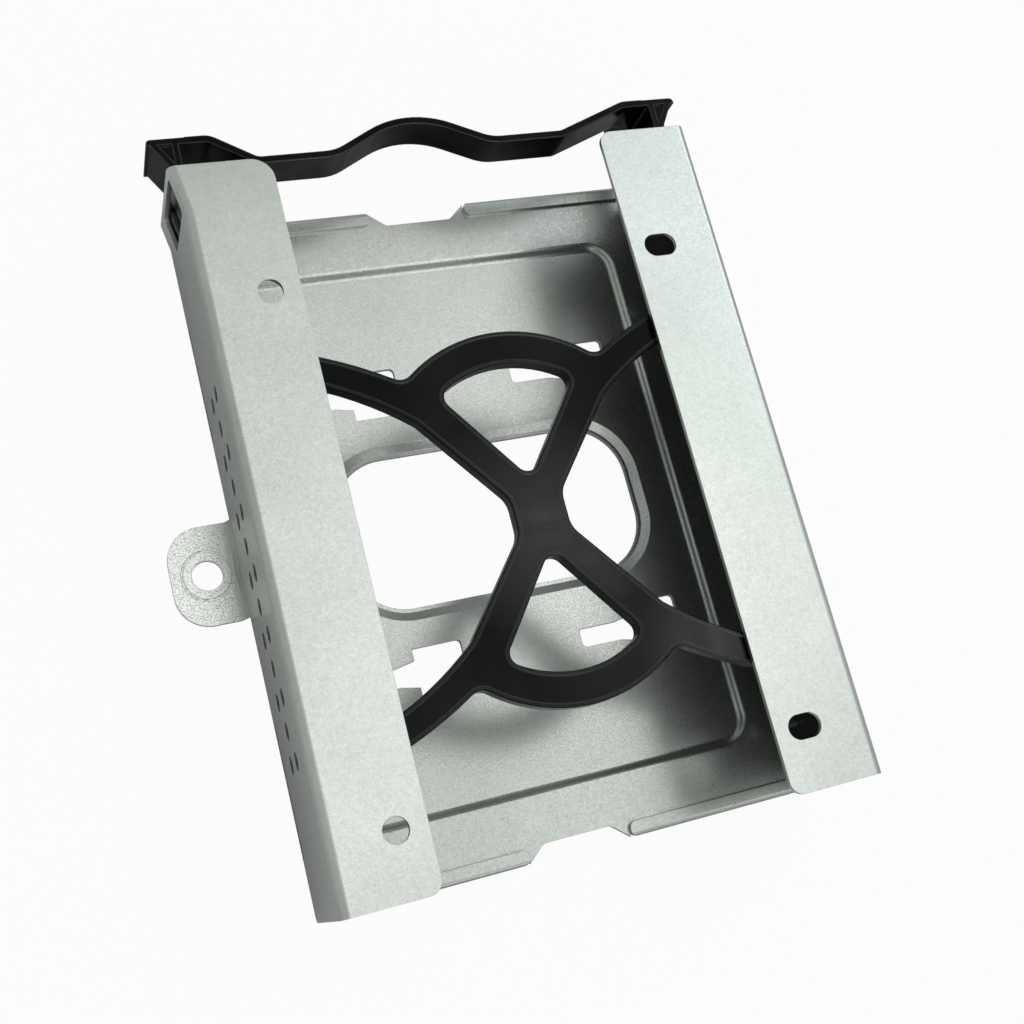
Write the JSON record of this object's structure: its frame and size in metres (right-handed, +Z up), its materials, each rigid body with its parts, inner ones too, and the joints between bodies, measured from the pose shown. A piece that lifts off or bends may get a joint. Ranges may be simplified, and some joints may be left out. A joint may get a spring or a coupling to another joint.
{
  "type": "hard drive mounting bracket",
  "caption": "Folded steel cage with a screw ear and a black plastic drive caddy that slides out by its springy back band.",
  "frame": {"origin": "centre of the bounding box's bottom, on the surface that the ear and the floor's rim rest on", "axes": "+Y along the caddy's way out, from the cage's open front to the bail; +Z up from the floor to the flanges; the ear is on the -X side"},
  "size_m": [0.128, 0.156, 0.032],
  "materials": {
    "galvanised_steel": "satin, spangled zinc",
    "black_plastic": "fine satin",
    "pin_steel": "smooth"
  },
  "bodies": {
    "cage": {"cage": "galvanised_steel"},
    "caddy": {"caddy": "black_plastic", "drive_pin_left_front": "pin_steel", "drive_pin_left_back": "pin_steel", "drive_pin_right_front": "pin_steel", "drive_pin_right_back": "pin_steel"}
  },
  "joints": [
    {"name": "caddy_slide", "type": "slide", "parent": "cage", "child": "caddy", "axis": [0, 1, 0], "range_m": [0, 0.15]}
  ]
}
